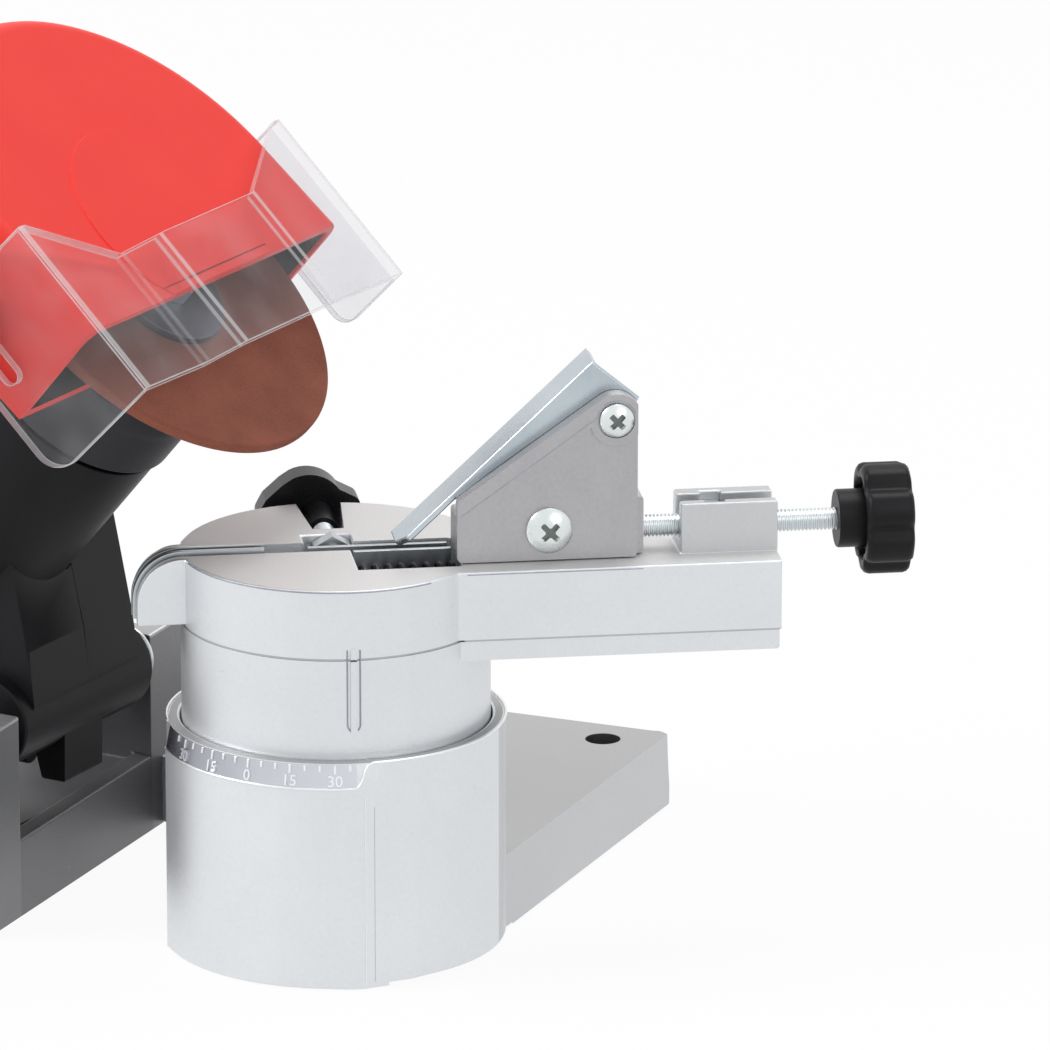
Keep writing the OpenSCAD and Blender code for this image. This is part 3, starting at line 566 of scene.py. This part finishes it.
table_metal = cast_finish(
    "table_metal", (0.68, 0.70, 0.72), (0.82, 0.84, 0.86), (0.67, 0.665, 0.66), table_seam_and_painted_shade
)
rounded("turntable_casting", table_metal, 0.6)


def arc(middle, reach, angles):
    """Points of an arc in a plane. A negative reach mirrors it."""
    turns = [math.radians(angle) for angle in angles]
    return [(middle[0] + reach[0] * math.cos(a), middle[1] + reach[1] * math.sin(a)) for a in turns]


# The pointer's frame, a thin line round the cast mark over the scale, laid round the table's wall.
# Its dark metal is painted shade.
frame_half, frame_top, frame_low, wall_radius = 1.7, 91.6, 71.2, 41.05
outline = [(-frame_half, frame_top), (-frame_half, frame_low)]
outline += arc((0, frame_low), (-frame_half, -1.9), range(15, 166, 15))
outline += [(frame_half, frame_low), (frame_half, frame_top)]
line = [
    round_cup(wall_radius, math.degrees(x / wall_radius) + table_turn - 90, height)
    for x, height in outline
]
bead("pointer_frame", line, 0.22, painted_shade_metal, "turntable")
# A dark line on the arm's front face, below the chain stop: painted shade under the carrier.
line = [table @ Vector((x, -28.72, 107.0)) for x in (31.5, 45, 60, 78)]
bead("arm_shade_line", line, 0.16, painted_shade_metal, "turntable")
# A dark line along the front of its top rim: painted shade under the edge.
line = [round_cup(40.88, angle, 107.2) for angle in range(-130, -19, 3)]
bead("table_rim_shade", line, 0.24, painted_shade_metal, "turntable")

# ---- Plated steel parts of the turntable ---------------------------------------------------------
# Zinc-plated plates, bolts and nuts with the bluish, slightly cloudy look of the plating.


def plated(name, dark, light, cloud_scale=90, gloss=0.2):
    """Plated or bare metal over ground or rolled stock, with faint streaks."""
    look, tree = new_tree(name)
    place = object_place(tree)
    cloud = place.noise(cloud_scale, 4, 0.6)
    grain = place.noise(1700, 2)
    streak = tree.node("ShaderNodeMapping", {"Vector": place, "Scale": (1, 1, 0.06)}).noise(900, 2)
    normal = bumped(tree, grain * 0.6 + streak * 0.5, 0.10, 0.0002)
    finished(tree, cloud.blend(dark, light), cloud * 0.16 + streak * 0.06 + gloss, 1.0, normal)
    return look


plate_zinc = plated("plate_zinc", (0.40, 0.43, 0.45), (0.66, 0.69, 0.71))
bolt_zinc = plated("bolt_zinc", (0.60, 0.65, 0.67), (0.80, 0.83, 0.84), 160)
rounded("guide_plates", plate_zinc, 0.18)
rounded("front_jaw", plate_zinc, 0.2)
rounded("clamp_jaw", plate_zinc, 0.2)
for name in ("clamp_nut", "block_nut", "guide_foot"):
    rounded(name, plate_zinc, 0.25)

# ---- Threads and springs -------------------------------------------------------------------------
# A thread or a spring is an outline wound about Z, closed at both ends, and then put in its place. The
# outline is in millimetres: distance from the axis, and height.


def wound(outline, pitch, turns, steps, place):
    """The outline's closed coil, with this many turns and steps to each turn."""
    mesh = bpy.data.meshes.new("wound")
    count = len(outline)
    points = [(r * mm, 0, z * mm) for r, z in outline]
    mesh.from_pydata(points, [(i, (i + 1) % count) for i in range(count)], [])
    made = bpy.data.objects.new("wound", mesh)
    bpy.context.collection.objects.link(made)
    screw = made.modifiers.new("screw", "SCREW")
    screw.angle = 2 * math.pi
    screw.screw_offset = pitch * mm
    screw.iterations = turns
    screw.steps = screw.render_steps = steps
    apply_all(made)
    bpy.ops.object.mode_set(mode="EDIT")
    bpy.ops.mesh.select_all(action="SELECT")
    bpy.ops.mesh.remove_doubles(threshold=1e-7)
    bpy.ops.mesh.fill_holes(sides=count)
    bpy.ops.mesh.normals_make_consistent(inside=False)
    bpy.ops.object.mode_set(mode="OBJECT")
    mesh.transform(place)
    return made


def ring_outline(radius, wire, count=10):
    """The round section of a wire at a spring's radius."""
    turns = [2 * math.pi * i / count for i in range(count)]
    return [(radius + wire * math.cos(a), wire * math.sin(a)) for a in turns]


def threaded_rod(name, length, place):
    """A plated M6 rod with its thread, from z = 0 to its length, chamfered at both ends."""
    radius, root, pitch, bare_end = 3.0, 2.58, 1.0, 0.8
    alone(floor)
    bpy.ops.mesh.primitive_cylinder_add(vertices=32, radius=root * mm, depth=length * mm)
    rod = bpy.context.object
    rod.data.transform(place @ Matrix.Translation((0, 0, length / 2 * mm)))
    edge_rounded(rod, 0.4)
    ridge = [(radius - 0.5, -0.44), (radius, -0.1), (radius, 0.1), (radius - 0.5, 0.44)]
    start = Matrix.Translation((0, 0, bare_end * mm))
    turns = int((length - 2 * bare_end) / pitch - 0.2)
    thread = wound(ridge, pitch, turns, 28, place @ start)
    alone(rod, thread)
    bpy.ops.object.join()
    smoothed(rod, 25)
    rod.name = name + "_thread"
    stands_for(rod, name, bolt_zinc)


def coil_spring(name, outline, pitch, turns, steps, place, look):
    """A spring of round wire, in the part's place."""
    spring = wound(outline, pitch, turns, steps, place)
    smoothed(spring, 60)
    spring.name = name + "_wire"
    stands_for(spring, name, look)


def along(direction, point, lean=Matrix.Identity(4)):
    """Z turned to a direction, from a point in millimetres."""
    turn = Vector(direction).to_track_quat("Z", "Y").to_matrix().to_4x4()
    return lean @ Matrix.Translation(Vector(point) * mm) @ turn


threaded_rod("adjusting_screw", 66, along((1, 0, 0), (76.2, -12.5, 113.8), table))
threaded_rod("clamp_screw", 44, along((0, 1, 0), (0, 2.8, 103), table))
threaded_rod("stop_screw", 49, along((1, 0, 0), (-153, 9, 33)))

spring_dark = plated("spring_dark", (0.035, 0.035, 0.04), (0.08, 0.08, 0.09), 160, 0.3)
coil_spring(
    "carrier_spring", ring_outline(3.6, 0.6), 27 / 8, 8, 24,
    along((1, 0, 0), (5.2, -11.05, 101.4), table), spring_dark,
)
coil_spring(
    "head_spring", ring_outline(8.2, 0.9), 2, 3, 32, along((0, 1, 0), (-95, 42.4, 50)), bolt_zinc
)

# ---- Clamp handle, knobs and caps ----------------------------------------------------------------
# Moulded nylon, black, satin, with well rounded lobes and wings.


def moulded(name, dark, light, rough, grain_scale=1700, grain_depth=0.12, **constants):
    """Moulded plastic with a fine spark-eroded grain and a faint unevenness of the gloss."""
    look, tree = new_tree(name)
    place = object_place(tree)
    cloud = place.noise(46, 3)
    grain = place.noise(grain_scale, 3)
    gloss = cloud * 0.10 + grain * 0.10 + (rough - 0.10)
    normal = bumped(tree, grain + cloud * 0.3, grain_depth, 0.0002)
    finished(tree, cloud.blend(dark, light), gloss, 0.0, normal, **constants)
    return look


soft = {"Specular IOR Level": 0.16}                     # the weak sheen of nylon
knob_black = moulded("knob_black", (0.006, 0.006, 0.007), (0.013, 0.013, 0.015), 0.40, **soft)
wing_black = moulded("wing_black", (0.006, 0.006, 0.007), (0.012, 0.012, 0.014), 0.28, **soft)


def lobed(name, radius, lobes, valley, levels, place, look):
    """Knob built from rings. Each level is a height, how far it lies inside the lobes' radius, and how
    much of the valleys it has. The rings run from the hub's face to the middle of the far face."""
    fine = 24                                           # points to a lobe
    around = fine * lobes
    points, faces = [], []
    for height, inside, share in levels:
        for i in range(around):
            from_valley = ((i % fine) / fine - 0.5) * 360 / 68
            reach = radius - inside - share * valley * math.exp(-(from_valley**2))
            turn = 2 * math.pi * i / around
            points.append(Vector((reach * math.cos(turn), reach * math.sin(turn), height)) * mm)
    for k in range(len(levels) - 1):
        for i in range(around):
            n = (i + 1) % around
            faces.append((k * around + i, k * around + n, (k + 1) * around + n, (k + 1) * around + i))
    faces.append(tuple(reversed(range(around))))
    faces.append(tuple((len(levels) - 1) * around + i for i in range(around)))
    mesh = bpy.data.meshes.new(name)
    mesh.from_pydata(points, [], faces)
    mesh.transform(place)
    made = bpy.data.objects.new(name + "_grip", mesh)
    bpy.context.collection.objects.link(made)
    smoothed(made, 50)
    stands_for(made, name, look)


lobed(
    "adjusting_knob", 15.0, 7, 2.1,
    [
        (0, 8.1, 0), (0, 7.5, 0), (0.4, 7.25, 0), (8.2, 7.25, 0), (8.4, 7.0, 0), (8.4, 4.2, 0),
        (6.9, 3.9, 0.3), (6.5, 3.4, 0.4), (6.4, 2.4, 0.6), (6.6, 1.2, 0.8), (7.2, 0.4, 0.95),
        (8.2, 0.0, 1), (17.2, 0.0, 1), (18.2, 0.3, 1), (18.9, 1.0, 0.9), (19.2, 2.2, 0.7), (19.2, 6, 0),
    ],
    along((1, 0, 0), (131.6, -12.5, 113.8), table), knob_black,
)
rounded("clamp_handle", wing_black, 2.2, 5)
rounded("stop_knob", knob_black, 1.0, 3)
rounded("lock_knob", knob_black, 1.3, 3)
rounded("stop_tip", knob_black, 0.5, 2)

# ---- Chain stop ----------------------------------------------------------------------------------
# The carrier is a smaller casting, tumbled, so its edges are rounder. The pawl is bent from 1.8 mm
# sheet and plated after bending.
carrier_metal = cast_finish(
    "carrier_metal", (0.36, 0.355, 0.37), (0.54, 0.535, 0.55), (0.54, 0.535, 0.53)
)
rounded("pawl_carrier", carrier_metal, 1.3, 3)
pawl_zinc = plated("pawl_zinc", (0.36, 0.42, 0.46), (0.64, 0.71, 0.75), 45, 0.16)
rounded("pawl", pawl_zinc, 0.5, 3)
screw_zinc = plated("screw_zinc", (0.62, 0.68, 0.68), (0.82, 0.86, 0.85), 200, 0.16)
# Painted shade for the floors of the screws' recesses.
recess_shade = plated("recess_shade", (0.12, 0.13, 0.125), (0.26, 0.28, 0.27), 700, 0.4)


def cross_shape(name, arm, width, core, depth, place):
    """A cross with a round middle, its middle at the place it is put at."""
    alone(floor)
    parts = []
    for long, wide in ((arm, width), (width, arm)):
        bpy.ops.mesh.primitive_cube_add(size=mm)
        parts.append(bpy.context.object)
        parts[-1].data.transform(Matrix.Diagonal((long, wide, depth, 1)))
    bpy.ops.mesh.primitive_cylinder_add(vertices=24, radius=core * mm, depth=depth * 1.06 * mm)
    parts.append(bpy.context.object)
    whole = parts[0]
    whole.name = name
    for part in parts[1:]:
        cut = whole.modifiers.new("join", "BOOLEAN")
        cut.operation = "UNION"
        cut.object = part
    apply_all(whole)
    for part in parts[1:]:
        bpy.data.objects.remove(part)
    whole.data.transform(place)
    return whole


# A recess is cut into each screw's head, and a dark floor is laid in it as painted shade.
recess_depth, floor_depth, slit = 1.6, 1.55, 1.5
eighth_turn = Matrix.Rotation(math.radians(45), 4, "Z")
for name, at, head, arm in (
    ("carrier_screw", (54, -21, 116.3), 3.6, 5.6), ("pawl_screw", (71.8, -21, 145.6), 3.0, 4.6),
):
    made = merged(name)
    face = along((0, -1, 0), at, table) @ Matrix.Translation((0, 0, head * mm)) @ eighth_turn
    cutter = cross_shape("cutter", arm, slit, arm * 0.24, 2 * recess_depth, face)
    cut = made.modifiers.new("recess", "BOOLEAN")
    cut.operation = "DIFFERENCE"
    cut.object = cutter
    apply_all(made)
    bpy.data.objects.remove(cutter)
    edge_rounded(made, 0.2, 2, 40)
    smoothed(made)
    stands_for(made, name, screw_zinc)
    sunk = face @ Matrix.Translation((0, 0, -floor_depth * mm))
    bottom = cross_shape(name + "_recess", arm * 0.96, slit - 0.08, arm * 0.235, 0.2, sunk)
    bottom.data.materials.append(recess_shade)
    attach(bottom, body_of[name])

# A dark line where the carrier's border meets its face: painted shade in the crease.
border = [(30.4, 120.6), (66.6, 146.4)] + arc((71.8, 145.6), (-5.3, 5.3), range(25, 161, 15))
line = [table @ Vector((x, -21.72, height)) for x, height in border]
bead("carrier_border_shade", line, 0.13, painted_shade_metal, "chain_stop")

# ---- Hinge, depth stop and bolts -----------------------------------------------------------------
# Turned steel pins and standard nuts and rings, plated.
for name in ("hinge_pin", "pivot_bolt", "stop_locknut", "clamp_washer", "pin_ring", "arm_screw"):
    rounded(name, bolt_zinc, 0.3)

# ---- Arm and motor -------------------------------------------------------------------------------
# Two moulded halves carry the motor: a black barrel with a flange in front and a vented cap behind.
arm_black = moulded("arm_black", (0.006, 0.006, 0.007), (0.013, 0.0125, 0.015), 0.42, **soft)
flange_black = moulded("flange_black", (0.030, 0.031, 0.036), (0.046, 0.047, 0.053), 0.46, **soft)
rounded("arm_half_left", arm_black, 0.8, 3)
rounded("arm_half_right", arm_black, 0.8, 3)
rounded("motor_flange", flange_black, 0.8, 3)
rounded("motor_housing", arm_black, 0.5, 2)
rounded("end_cap", arm_black, 0.5, 2)

# ---- Wheel cover ---------------------------------------------------------------------------------
# Moulded in red plastic, 3 mm thick, with a large soft edge round its front; the inside is painted
# black as shade.
cover_red = moulded("cover_red", (0.96, 0.050, 0.040), (1.0, 0.070, 0.056), 0.40, 1500, 0.10, **soft)
cover = rounded("wheel_cover", cover_red, 0.9, 3)
cover_inside_shade = moulded("cover_inside_shade", (0.008, 0.008, 0.009), (0.016, 0.016, 0.018), 0.5, **soft)
cover.data.materials.append(cover_inside_shade)
# A face is inside, and painted black as shade, where it looks at another wall of the cover. Small
# faces are left red, and the look starts above the low raised lines.
smallest, clear_of_lines, farthest = 2.2 * mm * mm, 0.9 * mm, 150 * mm
walls = BVHTree.FromPolygons(
    [v.co for v in cover.data.vertices], [p.vertices for p in cover.data.polygons]
)
for face in cover.data.polygons:
    start = face.center + face.normal * clear_of_lines
    met = walls.ray_cast(start, face.normal, farthest)[0]
    if face.area > smallest and met is not None:
        face.material_index = 1

# ---- Saddle, handle, switch and cable gland ------------------------------------------------------
# The black saddle is screwed to the cover's top; the grip is ribbed; the rocker is red.
rounded("handle_saddle", arm_black, 1.5, 3)
rounded("handle", arm_black, 0.5, 2)
rounded("switch_frame", knob_black, 0.4, 2)
rounded("cable_gland", knob_black, 0.5, 2)
rocker_red = moulded("rocker_red", (0.62, 0.03, 0.025), (0.72, 0.04, 0.03), 0.25)
rounded("switch_rocker", rocker_red, 0.6, 3)
rounded("guard_screw", knob_black, 0.8, 3)

# ---- Guard ---------------------------------------------------------------------------------------
# Clear moulded sheet, 2.4 mm thick, folded round the cover. Its folds and cut edges are whitish with
# a painted highlight; the panels are faintly grey.
folds = ((-65.5, 1.0), (-34.0, 0.3), (-17.5, 1.0), (29.5, 1.0), (65.5, 1.0))   # y, and brightness
fold_reach, edge_width = 1.1, 2.7
guard_look, tree = new_tree("clear_sheet")
place = object_place(tree)
across = place.axis("Y")
# Painted highlights: whitish bands along the folds.
fold_highlights = 0.0
for fold, bright in folds:
    band = 1 - tree.maths("ABSOLUTE", across - fold * mm) * (1 / (fold_reach * mm))
    band = tree.maths("MAXIMUM", band, 0.0).steps((0, 0), (0.5, 1)) * bright
    fold_highlights = tree.maths("MAXIMUM", fold_highlights, band)
rim = tree.node("ShaderNodeLayerWeight", {"Blend": 0.25}, out="Facing")
haze = place.noise(55, 3).steps((0.45, 0), (0.75, 1))
haze_and_fold_highlights = fold_highlights * 0.40 + haze * 0.06 + rim * 0.08 + 0.03


def clear_surface(tree, share):
    """Lets most light through, and adds a glossy skin by the share."""
    clear = tree.node("ShaderNodeBsdfTransparent", {"Color": (0.955, 0.955, 0.965, 1)})
    skin = {"Base Color": (0.88, 0.89, 0.91, 1), "Roughness": 0.10, "IOR": 1.45}
    gloss = tree.node("ShaderNodeBsdfPrincipled", skin)
    mixed = tree.node("ShaderNodeMixShader", {0: share, 1: clear, 2: gloss})
    tree.node("ShaderNodeOutputMaterial", {"Surface": mixed})


clear_surface(tree, haze_and_fold_highlights)
# The cut edges' material, a painted highlight.
edge_highlight_look, tree = new_tree("sheet_edge_highlight")
clear_surface(tree, object_place(tree).noise(200, 2) * 0.3 + 0.40)
guard = rounded("guard", guard_look, 0.35, 2, 12)
guard.data.materials.append(edge_highlight_look)
# The narrow faces are the sheet's cut edges, whitish with a painted highlight.
for face in guard.data.polygons:
    loop = [guard.data.vertices[i].co for i in face.vertices]
    longest = max((a - b).length for a, b in zip(loop, loop[1:] + loop[:1]))
    if face.area < edge_width * mm * longest:
        face.material_index = 1

# ---- Grinding disc and its flanges ---------------------------------------------------------------
# Bonded red-brown grit, 3.2 mm thick, dressed round at the rim. Steel flanges and a hexagon nut hold
# it on the spindle.
grit, tree = new_tree("bonded_grit")
place = object_place(tree)
speck = place.noise(2600, 3, 0.7)
blotch = place.noise(60, 4, 0.6)
mottle = (speck * 0.55 + blotch * 0.45).steps((0.30, 0), (0.70, 1))
colour = mottle.blend((0.19, 0.050, 0.029), (0.36, 0.112, 0.068))
finished(tree, colour, 0.86, 0.0, bumped(tree, speck, 0.55, 0.0004))
rounded("grinding_disc", grit, 0.8, 3)
flange_blue = plated("flange_blue", (0.06, 0.075, 0.10), (0.12, 0.14, 0.18), 60, 0.3)
for name in ("inner_flange", "outer_flange"):
    rounded(name, flange_blue, 0.4)
rounded("spindle_nut", bolt_zinc, 0.3)

# ---- Inside the motor ----------------------------------------------------------------------------
# Laminated iron, copper brush gear and commutator, a steel spindle and a moulded fan.
copper = plated("commutator_copper", (0.50, 0.22, 0.11), (0.74, 0.37, 0.20), 90, 0.25)
laminated = plated("laminated_iron", (0.12, 0.12, 0.125), (0.25, 0.25, 0.26), 90, 0.4)
for name in ("brush_holders", "commutator"):
    rounded(name, copper, 0.2)
for name in ("stator", "armature"):
    rounded(name, laminated, 0.2)
for name in ("bearings", "spindle"):
    rounded(name, bolt_zinc, 0.2)
rounded("fan", knob_black, 0.2)

# ---- View transform ------------------------------------------------------------------------------
bpy.context.scene.view_settings.view_transform = "Standard"
